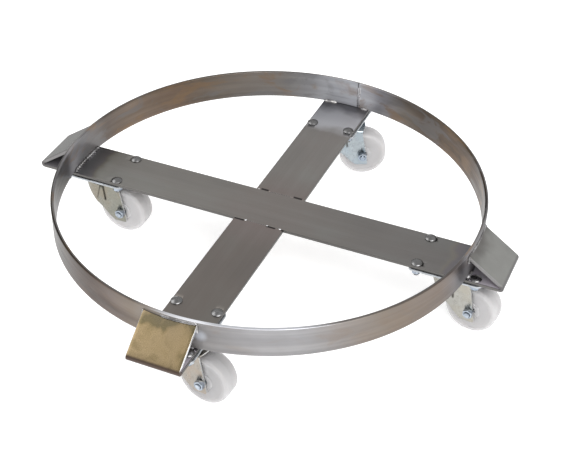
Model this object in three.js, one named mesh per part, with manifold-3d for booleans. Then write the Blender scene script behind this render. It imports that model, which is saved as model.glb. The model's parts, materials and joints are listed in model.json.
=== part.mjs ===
// Drum dolly: a rolled hoop stands on a cross of flat bars whose ends are folded up and back into
// bumpers, and a swivel caster is bolted under each arm of the cross.
// Millimetres, +Z up. The floor is z = 0 and the hoop's axis is the Z axis.
import * as THREE from "three";
import { mergeVertices } from "three/addons/utils/BufferGeometryUtils.js";
import Module from "manifold-3d";

const wasm = await Module();
wasm.setup();

// ---------- driving dimensions ----------

const GAP = 0.3; // clearance left between pieces that touch

const HOOP_BORE_R = 304.8; // 24 in bore, for a 200 litre drum
const HOOP_THICK = 4.8;
const HOOP_HEIGHT = 44.5;

const BAR_WIDTH = 76.2;
const BAR_THICK = 4.8;
const BUMPER_REACH = 360; // hoop axis to the nose of a folded bar end
const BEND_R = 1; // inside radius of the fold
const BUMPER_DROP = 5; // the folded plate meets the hoop this far below its top edge

const CASTER_R = 277; // hoop axis to each kingpin
const CASTER_HEIGHT = 100; // floor to the top of the caster's plate
const LEAD = 38; // kingpin axis to axle
const WHEEL_R = 37.5;
const WHEEL_WIDTH = 30;
const WHEEL_SEGMENTS = 28;

const PLATE_LENGTH = 105;
const PLATE_WIDTH = 80;
const PLATE_THICK = 3;
const PLATE_CORNER_R = 8;
const BOLT_SPACING_ALONG = 84;
const BOLT_SPACING_ACROSS = 60;

const BOLT_R = 4; // M8 fasteners throughout
const NUT_R = 7.5; // over the corners of a 13 mm hexagon
const NUT_HEIGHT = 6.5;
const NECK_SIDE = 8.1; // square neck of a carriage bolt
const BOLT_HEAD_R = 8.2;
const BOLT_HEAD_HEIGHT = 3.8;
const BOLT_LENGTH = 20;

const KINGPIN_R = 6;
const KINGPIN_HEAD_R = 9.5;
const KINGPIN_HEAD_HEIGHT = 3.4;
const BALL_R = 2.8;
const BALL_CIRCLE_R = 19.5;
const RACE_R = 28;
const CROWN_THICK = 2.6;
const LOWER_RACE_R = 15.5;
const LOWER_RACE_HEIGHT = 3.9;

const FORK_INNER = 16.6; // half the clear width between the fork's legs
const FORK_THICK = 2.6;
const FORK_FRONT = 28; // kingpin axis to the front of the hood
const CROWN_SWING_R = 41; // what the crown's rear edge sweeps
const SLEEVE_R = 6;
const AXLE_HEAD_HEIGHT = 5.3;
const AXLE_END = 27.5; // the axle bolt's threaded end, from the wheel's middle

// Each arm of the cross: the direction it points in, and the direction its wheel trails in.
const ARMS = [
  { name: "right", arm: 0, trail: -5 },
  { name: "rear", arm: 90, trail: 22 },
  { name: "left", arm: 180, trail: 0 },
  { name: "front", arm: 270, trail: -6 },
];

// ---------- levels and radii that follow ----------

const HOOP_R = HOOP_BORE_R + HOOP_THICK;
const BAR_LOW = CASTER_HEIGHT + GAP;
const BAR_TOP = BAR_LOW + BAR_THICK;
const HOOP_LOW = BAR_TOP + GAP;
const HOOP_TOP = HOOP_LOW + HOOP_HEIGHT;
const PLATE_LOW = CASTER_HEIGHT - PLATE_THICK;
const CROWN_TOP = 84;
const CROWN_LOW = CROWN_TOP - CROWN_THICK;
const BALL_Z = CROWN_TOP + GAP + BALL_R;
const LOWER_RACE_TOP = CROWN_LOW - GAP;
const LOWER_RACE_LOW = LOWER_RACE_TOP - LOWER_RACE_HEIGHT;
const KINGPIN_SEAT = LOWER_RACE_LOW - GAP;
const FORK_OUTER = FORK_INNER + FORK_THICK;

// ---------- materials ----------

const steel = (color, roughness) =>
  new THREE.MeshStandardMaterial({ color, roughness, metalness: 1 });

const hoopSteel = steel(0x8f8982, 0.38);
const barSteel = steel(0x86827d, 0.45);
const boltZinc = steel(0xb9bcbf, 0.3);
const plateZinc = steel(0xaeb3b5, 0.35);
const forkZinc = steel(0xb5b39f, 0.35);
const raceSteel = steel(0x5c6166, 0.4);
const ballSteel = steel(0xc8cacc, 0.15);
const nylon = new THREE.MeshStandardMaterial({
  color: 0xe6e4e2,
  roughness: 0.5,
  metalness: 0,
});

// ---------- helpers ----------

const radians = THREE.MathUtils.degToRad;

function toSolid(geometry) {
  const bare = geometry.clone();
  bare.deleteAttribute("normal");
  bare.deleteAttribute("uv");
  const merged = mergeVertices(bare, 1e-4);
  return new wasm.Manifold(
    new wasm.Mesh({
      numProp: 3,
      vertProperties: merged.attributes.position.array,
      triVerts: new Uint32Array(merged.index.array),
    }),
  );
}

function toGeometry(solid) {
  const mesh = solid.getMesh();
  const geometry = new THREE.BufferGeometry();
  geometry.setAttribute("position", new THREE.BufferAttribute(mesh.vertProperties, 3));
  geometry.setIndex(new THREE.BufferAttribute(mesh.triVerts, 1));
  geometry.computeVertexNormals();
  return geometry;
}

// operation is "add", "subtract" or "intersect".
function combine(operation, first, ...others) {
  const solid = others.reduce(
    (result, other) => result[operation](toSolid(other)),
    toSolid(first),
  );
  return toGeometry(solid);
}

// Points of an arc in a plane, both ends included. Angles are in degrees.
function arc(x, y, radius, from, to, steps) {
  return Array.from({ length: steps + 1 }, (_, i) => {
    const angle = radians(from + ((to - from) * i) / steps);
    return [x + radius * Math.cos(angle), y + radius * Math.sin(angle)];
  });
}

const vectors = (points) => points.map(([x, y]) => new THREE.Vector2(x, y));

// A plan outline, anticlockwise from above, raised from the level low to the level high.
function raised(points, low, high, holes = []) {
  const shape = new THREE.Shape(vectors(points));
  shape.holes = holes.map((hole) => new THREE.Path(vectors(hole)));
  const options = { depth: high - low, bevelEnabled: false };
  return new THREE.ExtrudeGeometry(shape, options).translate(0, 0, low);
}

// A side outline in X and Z, anticlockwise, widened evenly about Y = 0.
function widened(points, width) {
  const options = { depth: width, bevelEnabled: false };
  return new THREE.ExtrudeGeometry(new THREE.Shape(vectors(points)), options)
    .translate(0, 0, -width / 2)
    .rotateX(Math.PI / 2);
}

// A solid of revolution about Y from [radius, height] points, anticlockwise.
// A profile that isn't on the axis at both ends is closed into a ring.
function turnedAboutY(profile, segments, start = 0) {
  const onAxis = profile[0][0] === 0 && profile.at(-1)[0] === 0;
  const closed = onAxis ? profile : [...profile, profile[0]];
  return new THREE.LatheGeometry(vectors(closed), segments, start);
}

const turned = (profile, segments) =>
  turnedAboutY(profile, segments).rotateX(Math.PI / 2);

const ring = (inner, outer, low, high) => [
  [inner, low],
  [outer, low],
  [outer, high],
  [inner, high],
];

// A cylinder or, with few sides, a prism about Z, with its first corner on X.
function post(radius, low, high, sides, x = 0, y = 0) {
  const corners = arc(x, y, radius, 0, 360, sides).slice(0, -1);
  return raised(corners, low, high);
}

function named(name, geometry, material) {
  const mesh = new THREE.Mesh(geometry, material);
  mesh.name = name;
  return mesh;
}

// ---------- hoop and crossbars ----------

const hoop = () =>
  turned(ring(HOOP_BORE_R, HOOP_R, HOOP_LOW, HOOP_TOP), 96);

// One folded bar end in X and Z, from its underside round the nose to the clear stretch of its
// top face. The folded plate runs on into the hoop, which trims it.
function foldedEnd() {
  const outside = BEND_R + BAR_THICK;
  const bendX = BUMPER_REACH - outside;
  const bendZ = BAR_LOW + outside;
  const run = bendX - HOOP_R;
  const rise = HOOP_TOP - BUMPER_DROP - bendZ;
  const slope = Math.acos(outside / Math.hypot(run, rise)) - Math.atan2(run, rise);
  const turn = 90 - THREE.MathUtils.radToDeg(slope);
  const length = Math.hypot(run, rise) + BAR_THICK;
  const along = ([x, z]) => [x - length * Math.cos(slope), z + length * Math.sin(slope)];
  const nose = arc(bendX, bendZ, outside, -90, turn, 8);
  const inside = arc(bendX, bendZ, BEND_R, turn, -90, 5);
  const clearEnd = CASTER_R - PLATE_LENGTH / 2 - 20; // short of the bolts and the hoop
  return [...nose, along(nose.at(-1)), along(inside[0]), ...inside, [clearEnd, BAR_TOP]];
}

const mirrored = (points) => points.map(([x, z]) => [-x, z]).reverse();

// Where the four bolts of the caster on the +X arm stand.
function boltPlaces() {
  const along = [-BOLT_SPACING_ALONG / 2, BOLT_SPACING_ALONG / 2];
  const across = [-BOLT_SPACING_ACROSS / 2, BOLT_SPACING_ACROSS / 2];
  return along.flatMap((dx) => across.map((y) => [CASTER_R + dx, y]));
}

function neckHoles() {
  const side = NECK_SIDE + 2 * GAP;
  return boltPlaces().map(([x, y]) =>
    new THREE.BoxGeometry(side, side, 2 * BAR_THICK).translate(x, y, BAR_TOP - BAR_THICK / 2),
  );
}

// What the hoop cuts off the folded plates.
const hoopTrim = () => post(HOOP_R + GAP, BAR_TOP + BAR_THICK, HOOP_TOP + 20, 96);

function throughCrossbar() {
  const end = foldedEnd();
  const outline = [...end, ...mirrored(end)];
  const holes = neckHoles();
  const farHoles = holes.map((hole) => hole.clone().rotateZ(Math.PI));
  return combine("subtract", widened(outline, BAR_WIDTH), hoopTrim(), ...holes, ...farHoles);
}

function halfCrossbar() {
  const butt = BAR_WIDTH / 2 + GAP;
  const outline = [[butt, BAR_LOW], ...foldedEnd(), [butt, BAR_TOP]];
  return combine("subtract", widened(outline, BAR_WIDTH), hoopTrim(), ...neckHoles());
}

// A carriage bolt with its nut, drawn on the Z axis through bar and plate.
function carriageBolt() {
  const seat = BAR_TOP + GAP;
  const dome = [
    [0, seat],
    [BOLT_HEAD_R, seat],
    [BOLT_HEAD_R, seat + 1],
    [5.4, seat + 3],
    [0, seat + BOLT_HEAD_HEIGHT],
  ];
  const head = turned(dome, 12);
  const neck = new THREE.BoxGeometry(NECK_SIDE, NECK_SIDE, BAR_THICK)
    .translate(0, 0, seat + 0.5 - BAR_THICK / 2);
  const shank = post(BOLT_R, seat - BOLT_LENGTH, seat - 1, 12);
  const nutTop = PLATE_LOW - GAP;
  const nut = post(NUT_R, nutTop - NUT_HEIGHT, nutTop, 6);
  return combine("add", head, neck, shank, nut);
}

// ---------- caster ----------

function topPlate() {
  const x = PLATE_LENGTH / 2 - PLATE_CORNER_R;
  const y = PLATE_WIDTH / 2 - PLATE_CORNER_R;
  const outline = [
    ...arc(x, y, PLATE_CORNER_R, 0, 90, 3),
    ...arc(-x, y, PLATE_CORNER_R, 90, 180, 3),
    ...arc(-x, -y, PLATE_CORNER_R, 180, 270, 3),
    ...arc(x, -y, PLATE_CORNER_R, 270, 360, 3),
  ];
  const hole = (cx, cy, radius) => arc(cx, cy, radius, 360, 0, 12).slice(0, -1);
  const boltHoles = boltPlaces().map(([bx, by]) => hole(bx - CASTER_R, by, BOLT_R + 2 * GAP));
  const kingpinHole = hole(0, 0, KINGPIN_R + 2 * GAP);
  return raised(outline, PLATE_LOW, CASTER_HEIGHT, [...boltHoles, kingpinHole]);
}

// The dish under the plate, with a groove for the balls and a skirt round them.
function upperRace() {
  const low = BALL_Z + BALL_R + GAP;
  const bore = KINGPIN_R + GAP;
  const skirt = BALL_Z - 0.5;
  return turned(
    [
      [bore, low],
      [RACE_R - 2.4, low],
      [RACE_R - 2.4, skirt],
      [RACE_R, skirt],
      [RACE_R, low + 2],
      [RACE_R - 4, PLATE_LOW - GAP],
      [bore, PLATE_LOW - GAP],
    ],
    24,
  );
}

const ballRing = () => turned(arc(BALL_CIRCLE_R, BALL_Z, BALL_R, 0, 360, 6).slice(0, -1), 20);

const lowerRace = () =>
  turned(ring(KINGPIN_R + GAP, LOWER_RACE_R, LOWER_RACE_LOW, LOWER_RACE_TOP), 24);

function kingpin() {
  const foot = KINGPIN_SEAT - KINGPIN_HEAD_HEIGHT;
  return turned(
    [
      [0, foot],
      [KINGPIN_HEAD_R - 1, foot],
      [KINGPIN_HEAD_R, foot + 1],
      [KINGPIN_HEAD_R, KINGPIN_SEAT],
      [KINGPIN_R, KINGPIN_SEAT],
      [KINGPIN_R, CASTER_HEIGHT - GAP],
      [0, CASTER_HEIGHT - GAP],
    ],
    16,
  );
}

// A plan outline with parallel sides that runs back to +X and is rounded in front.
function hood(halfWidth, front, rear) {
  const nose = arc(0, 0, 1, 90, 270, 8).map(([x, y]) => [front * x, halfWidth * y]);
  return [[rear, -halfWidth], [rear, halfWidth], ...nose];
}

// The fork's legs seen from the side, in X and Z.
const LEG_SIDE = [
  [27, 20.2],
  [44.5, 20.5],
  [46.5, 22.8],
  [36, CROWN_LOW + 1],
  [-FORK_FRONT - 1, CROWN_LOW + 1],
  [-FORK_FRONT - 1, 81],
  [-13.5, 57.5],
  [-4, 46],
  [9, 36.5],
  [19.5, 25],
];

function yoke() {
  const outline = hood(FORK_OUTER, FORK_FRONT, CROWN_SWING_R + 10);
  const outside = raised(outline, 10, CROWN_LOW + 1);
  const inside = raised(hood(FORK_INNER, FORK_FRONT - FORK_THICK, 70), 0, CROWN_LOW);
  const shell = combine("subtract", outside, inside);
  const legs = combine("intersect", shell, widened(LEG_SIDE, 3 * FORK_OUTER));
  const crown = raised(outline, CROWN_LOW, CROWN_TOP);
  const trimmedCrown = combine("intersect", crown, post(CROWN_SWING_R, 0, 120, 32));
  const dish = post(RACE_R - 2.8, CROWN_LOW, CROWN_TOP, 24);
  const kingpinHole = post(KINGPIN_R + 2 * GAP, 50, 120, 20);
  const axleHole = new THREE.CylinderGeometry(BOLT_R + GAP, BOLT_R + GAP, 4 * FORK_OUTER, 12)
    .translate(LEAD, 0, WHEEL_R);
  return combine("subtract", combine("add", legs, trimmedCrown, dish), kingpinHole, axleHole);
}

// The wheel about the Y axis. Its flats touch the floor, so its corners stand a little proud.
function wheel() {
  const tread = WHEEL_R / Math.cos(Math.PI / WHEEL_SEGMENTS);
  const side = WHEEL_WIDTH / 2;
  const bore = SLEEVE_R + 2 * GAP;
  const half = [
    [tread, side - 7],
    [tread - 1.6, side - 2.5],
    [tread - 5, side],
    [31, side],
    [30, side - 1],
    [14, side - 1],
    [13, side + 0.8],
    [bore, side + 0.8],
  ];
  const otherHalf = half.map(([r, y]) => [r, -y]).reverse();
  return turnedAboutY([...otherHalf, ...half], WHEEL_SEGMENTS, Math.PI / WHEEL_SEGMENTS);
}

const axleSleeve = () =>
  turnedAboutY(ring(BOLT_R + GAP, SLEEVE_R, GAP - FORK_INNER, FORK_INNER - GAP), 16);

function axleBolt() {
  const seat = FORK_OUTER + GAP;
  const head = new THREE.CylinderGeometry(NUT_R, NUT_R, AXLE_HEAD_HEIGHT, 6)
    .translate(0, seat + AXLE_HEAD_HEIGHT / 2, 0);
  const shankLength = AXLE_END + seat + 1;
  const shank = new THREE.CylinderGeometry(BOLT_R, BOLT_R, shankLength, 12)
    .translate(0, shankLength / 2 - AXLE_END, 0);
  return combine("add", head, shank);
}

function axleNut() {
  const seat = FORK_OUTER + GAP;
  const body = new THREE.CylinderGeometry(NUT_R, NUT_R, NUT_HEIGHT, 6)
    .translate(0, -seat - NUT_HEIGHT / 2, 0);
  const hole = new THREE.CylinderGeometry(BOLT_R + GAP, BOLT_R + GAP, 4 * AXLE_END, 12);
  return combine("subtract", body, hole);
}

// ---------- assembly ----------

const shapes = {
  bolt: carriageBolt(),
  topPlate: topPlate(),
  upperRace: upperRace(),
  ballRing: ballRing(),
  lowerRace: lowerRace(),
  kingpin: kingpin(),
  yoke: yoke(),
  wheel: wheel(),
  axleSleeve: axleSleeve(),
  axleBolt: axleBolt(),
  axleNut: axleNut(),
};

// The four carriage bolts of the caster on one arm, drawn on the +X arm.
function casterBolts(name) {
  return boltPlaces().map(([x, y], index) => {
    const bolt = named(`${name}_bolt_${index + 1}`, shapes.bolt, boltZinc);
    bolt.position.set(x, y, 0);
    return bolt;
  });
}

// What turns on a caster's kingpin, with +X as the trailing direction.
function swivel(name) {
  const wheelSet = new THREE.Group();
  wheelSet.position.set(LEAD, 0, WHEEL_R);
  wheelSet.add(
    named(`${name}_wheel`, shapes.wheel, nylon),
    named(`${name}_axle_sleeve`, shapes.axleSleeve, plateZinc),
    named(`${name}_axle_bolt`, shapes.axleBolt, boltZinc),
    named(`${name}_axle_nut`, shapes.axleNut, boltZinc),
  );
  const turning = new THREE.Group();
  turning.add(named(`${name}_yoke`, shapes.yoke, forkZinc), wheelSet);
  return turning;
}

// What is fixed to the frame at one caster, drawn about its kingpin on the +X arm.
function casterTop(name) {
  const fixed = new THREE.Group();
  fixed.add(
    named(`${name}_top_plate`, shapes.topPlate, plateZinc),
    named(`${name}_upper_race`, shapes.upperRace, raceSteel),
    named(`${name}_ball_ring`, shapes.ballRing, ballSteel),
    named(`${name}_lower_race`, shapes.lowerRace, raceSteel),
    named(`${name}_kingpin`, shapes.kingpin, boltZinc),
  );
  return fixed;
}

const dolly = new THREE.Group();
dolly.add(named("hoop", hoop(), hoopSteel));
dolly.add(named("through_crossbar", throughCrossbar(), barSteel));

const halfBar = halfCrossbar();
for (const { name, arm } of ARMS.filter((each) => each.arm % 180 !== 0)) {
  const bar = named(`${name}_crossbar`, halfBar, barSteel);
  bar.rotation.z = radians(arm);
  dolly.add(bar);
}

for (const { name, arm, trail } of ARMS) {
  const onArm = new THREE.Group();
  onArm.rotation.z = radians(arm);
  const top = casterTop(name);
  const turning = swivel(name);
  top.position.x = CASTER_R;
  turning.position.x = CASTER_R;
  turning.rotation.z = radians(trail - arm);
  onArm.add(top, turning, ...casterBolts(name));
  dolly.add(onArm);
}

export default dolly;
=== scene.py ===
"""The drum dolly's looks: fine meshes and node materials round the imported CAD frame.

The row frame has the floor at z = 0 and the hoop's axis on Z. Shapes are drawn in millimetres and
scaled to metres when their mesh is made.
"""

import json
import math
import random

import bmesh
import bpy
from mathutils import Matrix, Vector, noise


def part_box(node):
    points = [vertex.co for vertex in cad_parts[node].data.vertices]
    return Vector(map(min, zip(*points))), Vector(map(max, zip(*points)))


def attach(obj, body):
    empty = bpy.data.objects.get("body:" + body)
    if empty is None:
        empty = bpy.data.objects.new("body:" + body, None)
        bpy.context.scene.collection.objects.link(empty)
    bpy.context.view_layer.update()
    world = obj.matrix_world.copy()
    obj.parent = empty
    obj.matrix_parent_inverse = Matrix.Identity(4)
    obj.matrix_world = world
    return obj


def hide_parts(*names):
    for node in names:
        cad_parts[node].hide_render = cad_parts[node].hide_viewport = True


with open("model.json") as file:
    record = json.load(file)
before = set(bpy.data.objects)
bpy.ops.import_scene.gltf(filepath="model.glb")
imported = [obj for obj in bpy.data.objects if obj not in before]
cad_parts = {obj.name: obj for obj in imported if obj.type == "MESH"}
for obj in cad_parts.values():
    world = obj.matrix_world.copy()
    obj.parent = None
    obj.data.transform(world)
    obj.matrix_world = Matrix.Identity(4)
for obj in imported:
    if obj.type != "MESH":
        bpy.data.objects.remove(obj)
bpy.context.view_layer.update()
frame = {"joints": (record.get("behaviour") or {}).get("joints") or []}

MM = 0.001
TAU = math.tau
random.seed(11)

# ---------- sizes read from the frame, in millimetres ----------


def box_mm(node):
    low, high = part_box(node)
    return low / MM, high / MM


hoop_low, hoop_high = box_mm("hoop")
bar_low, bar_high = box_mm("through_crossbar")
plate_low, plate_high = box_mm("right_top_plate")
race_low, race_high = box_mm("right_upper_race")
balls_low, balls_high = box_mm("right_ball_ring")
lower_low, lower_high = box_mm("right_lower_race")
pin_low, pin_high = box_mm("right_kingpin")
yoke_low, yoke_high = box_mm("left_yoke")
bolt_low, bolt_high = box_mm("left_bolt_1")
sleeve_low, sleeve_high = box_mm("left_axle_sleeve")
axle_low, axle_high = box_mm("left_axle_bolt")

GAP = 0.3
HOOP_THICK = 4.8
HOOP_R = hoop_high.x
HOOP_BORE_R = HOOP_R - HOOP_THICK
HOOP_LOW = hoop_low.z
HOOP_TOP = hoop_high.z
BAR_THICK = 4.8
BAR_LOW = bar_low.z
BAR_TOP = BAR_LOW + BAR_THICK
BAR_HALF = bar_high.y
BUMPER_REACH = bar_high.x
BEND_R = 1.0
BUMPER_DROP = 5.0
PLATE_LOW = plate_low.z
PLATE_TOP = plate_high.z
PLATE_X = (plate_high.x - plate_low.x) / 2
PLATE_Y = (plate_high.y - plate_low.y) / 2
BOLT_ALONG = 42.0
BOLT_ACROSS = 30.0
CROWN_TOP = 84.0
CROWN_THICK = 2.6
FORK_HALF = sleeve_high.y + GAP + CROWN_THICK
FORK_FRONT = 28.0
BOLT_HEAD_R = 8.2
WHEEL_R = 37.5
SEAM_ANGLE = 86.1
# The panel pressed in each leg: its top edge's height, and each side's (start, lean) in X going
# down from it.
PANEL_TOP = 77.5
PANEL_DEPTH = 25.0
PANEL_SIDES = ((4.4, -0.243), (10.2, 0.111))
RIM_GLINT_TURN = 0.797  # share of a turn where the hoop's top edge gets a painted highlight, beside the front plate
SPOT_ANGLE = 277.6  # the polished spot on the hoop beside the front plate
SPOT_Z = 129.0

# ---------- plane figures ----------


def rounded(corners, radius=0.0, steps=4, closed=False):
    """A polyline with each corner (x, y) or (x, y, radius) turned into an arc."""
    out = []
    for i, corner in enumerate(corners):
        here = Vector(corner[:2])
        turn_radius = corner[2] if len(corner) > 2 else radius
        if turn_radius <= 0 or (not closed and i in (0, len(corners) - 1)):
            out.append(tuple(here))
            continue
        before = Vector(corners[i - 1][:2]) - here
        after = Vector(corners[(i + 1) % len(corners)][:2]) - here
        reach = turn_radius / math.tan(before.angle(after) / 2)
        reach = min(reach, 0.49 * before.length, 0.49 * after.length)
        start = here + before.normalized() * reach
        end = here + after.normalized() * reach
        for k in range(steps + 1):
            t = k / steps
            out.append(tuple(start * (1 - t) ** 2 + here * 2 * t * (1 - t) + end * t * t))
    return out


def arc(x, y, radius, start, end, steps):
    """Points of an arc, both ends included, in degrees."""
    angles = (math.radians(start + (end - start) * i / steps) for i in range(steps + 1))
    return [(x + radius * math.cos(a), y + radius * math.sin(a)) for a in angles]


def strip_section(half_width, thick, corner, across=16):
    """A flat bar's section: one long side's points, then the other's back again."""
    half = thick / 2
    side = arc(-half_width + corner, half - corner, corner, 180, 90, 4)
    start, end = -half_width + corner, half_width - corner
    side += [(start + (end - start) * i / across, half) for i in range(1, across)]
    side += arc(half_width - corner, half - corner, corner, 90, 0, 4)
    return side + [(y, -a) for y, a in reversed(side)]


# ---------- the folded bar ends ----------


def fold_path():
    """Centre line of one folded end as (x, z, normal x, normal z), and the way up the plate."""
    outside = BEND_R + BAR_THICK
    bend_x, bend_z = BUMPER_REACH - outside, BAR_LOW + outside
    run, rise = bend_x - HOOP_R, HOOP_TOP - BUMPER_DROP - bend_z
    slope = math.acos(outside / math.hypot(run, rise)) - math.atan2(run, rise)
    turn = 90 - math.degrees(slope)
    middle = BEND_R + BAR_THICK / 2
    stations = []
    for i in range(13):
        a = math.radians(-90 + (turn + 90) * i / 12)
        stations.append((bend_x + middle * math.cos(a), bend_z + middle * math.sin(a),
                         math.cos(a), math.sin(a)))
    return stations, (-math.cos(slope), math.sin(slope))


# The folded plate's middle plane, measured along its normal, in millimetres.
_last = fold_path()[0][-1]
FOLD_MIDDLE = _last[0] * _last[2] + _last[1] * _last[3]

# ---------- meshes ----------


def mesh_of(bm, name, sharp=38):
    """Closes a bmesh drawn in millimetres into a smooth-shaded mesh in metres."""
    bmesh.ops.recalc_face_normals(bm, faces=bm.faces)
    bmesh.ops.scale(bm, vec=(MM, MM, MM), verts=bm.verts)
    mesh = bpy.data.meshes.new(name)
    bm.to_mesh(mesh)
    bm.free()
    mesh.shade_smooth()
    mesh.set_sharp_from_angle(angle=math.radians(sharp))
    return mesh


def add_loft(bm, rings, closed=False):
    """Skins rings of the same even number of points, and closes both ends with strips."""
    rows = [[bm.verts.new(p) for p in ring] for ring in rings]
    pairs = list(zip(rows, rows[1:]))
    if closed:
        pairs.append((rows[-1], rows[0]))
    count = len(rows[0])
    for a, b in pairs:
        for i in range(count):
            j = (i + 1) % count
            bm.faces.new((a[i], a[j], b[j], b[i]))
    if not closed:
        for row in (rows[0], rows[-1]):
            for i in range(count // 2 - 1):
                bm.faces.new((row[i], row[i + 1], row[-2 - i], row[-1 - i]))


def loft(name, rings, closed=False, sharp=38):
    bm = bmesh.new()
    add_loft(bm, rings, closed)
    return mesh_of(bm, name, sharp)


def add_lathe(bm, profile, segments=64, place=Matrix.Identity(4)):
    """Turns a profile about Z. An entry is (radius, height), or a function of the angle."""
    rows = []
    for entry in profile:
        row = []
        for i in range(segments):
            angle = TAU * i / segments
            radius, height = entry(angle) if callable(entry) else entry
            point = place @ Vector((radius * math.cos(angle), radius * math.sin(angle), height))
            row.append(bm.verts.new(point))
            if not callable(entry) and radius < 1e-6:
                break
        rows.append(row)
    for a, b in zip(rows, rows[1:] + rows[:1]):
        if len(a) == 1 and len(b) == 1:
            continue
        for i in range(segments):
            j = (i + 1) % segments
            corners = [a[i % len(a)], a[j % len(a)], b[j % len(b)], b[i % len(b)]]
            bm.faces.new(list(dict.fromkeys(corners)))


def lathe(name, profile, segments=64, sharp=38):
    bm = bmesh.new()
    add_lathe(bm, profile, segments)
    return mesh_of(bm, name, sharp)


def prism(name, outline, low, high, axis="Z"):
    """An outline raised along Z, or along Y with the outline's second value as height."""
    bm = bmesh.new()
    place = (lambda x, y, h: (x, y, h)) if axis == "Z" else (lambda x, y, h: (x, h, y))
    rows = [[bm.verts.new(place(x, y, h)) for x, y in outline] for h in (low, high)]
    for i in range(len(outline)):
        j = (i + 1) % len(outline)
        bm.faces.new((rows[0][i], rows[0][j], rows[1][j], rows[1][i]))
    for row in rows:
        bm.faces.new(row)
    return mesh_of(bm, name)


def boxes(name, centres, size):
    bm = bmesh.new()
    for centre in centres:
        made = bmesh.ops.create_cube(bm, size=1)["verts"]
        bmesh.ops.scale(bm, vec=size, verts=made)
        bmesh.ops.translate(bm, vec=centre, verts=made)
    return mesh_of(bm, name)


def apply_modifiers(mesh, *settings):
    """A new mesh with modifiers, each (type, {settings}), applied in turn."""
    scratch = bpy.data.objects.new("scratch", mesh)
    bpy.context.scene.collection.objects.link(scratch)
    for kind, values in settings:
        modifier = scratch.modifiers.new(kind, kind)
        for key, value in values.items():
            setattr(modifier, key, value)
    graph = bpy.context.evaluated_depsgraph_get()
    made = bpy.data.meshes.new_from_object(scratch.evaluated_get(graph), depsgraph=graph)
    bpy.data.objects.remove(scratch)
    return made


def carved(mesh, operation, *others):
    """mesh after exact booleans with others, in turn. operation is Blender's name for it."""
    tools = []
    for other in others:
        tool = bpy.data.objects.new("tool", other)
        bpy.context.scene.collection.objects.link(tool)
        tools.append(tool)
    steps = [
        ("BOOLEAN", {"operation": operation, "solver": "EXACT", "object": tool})
        for tool in tools
    ]
    made = apply_modifiers(mesh, *steps)
    for tool in tools:
        bpy.data.objects.remove(tool)
    return made


def softened(mesh, width, segments=2, angle=38):
    """mesh with its hard edges bevelled by width millimetres."""
    bevel = {
        "width": width * MM,
        "segments": segments,
        "limit_method": "ANGLE",
        "angle_limit": math.radians(angle),
        "use_clamp_overlap": True,
        "harden_normals": False,
    }
    made = apply_modifiers(mesh, ("WELD", {"merge_threshold": 1e-6}), ("BEVEL", bevel))
    made.shade_smooth()
    made.set_sharp_from_angle(angle=math.radians(50))
    return made


def moved(mesh, matrix):
    copy = mesh.copy()
    copy.transform(matrix)
    return copy


# ---------- materials ----------


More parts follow.
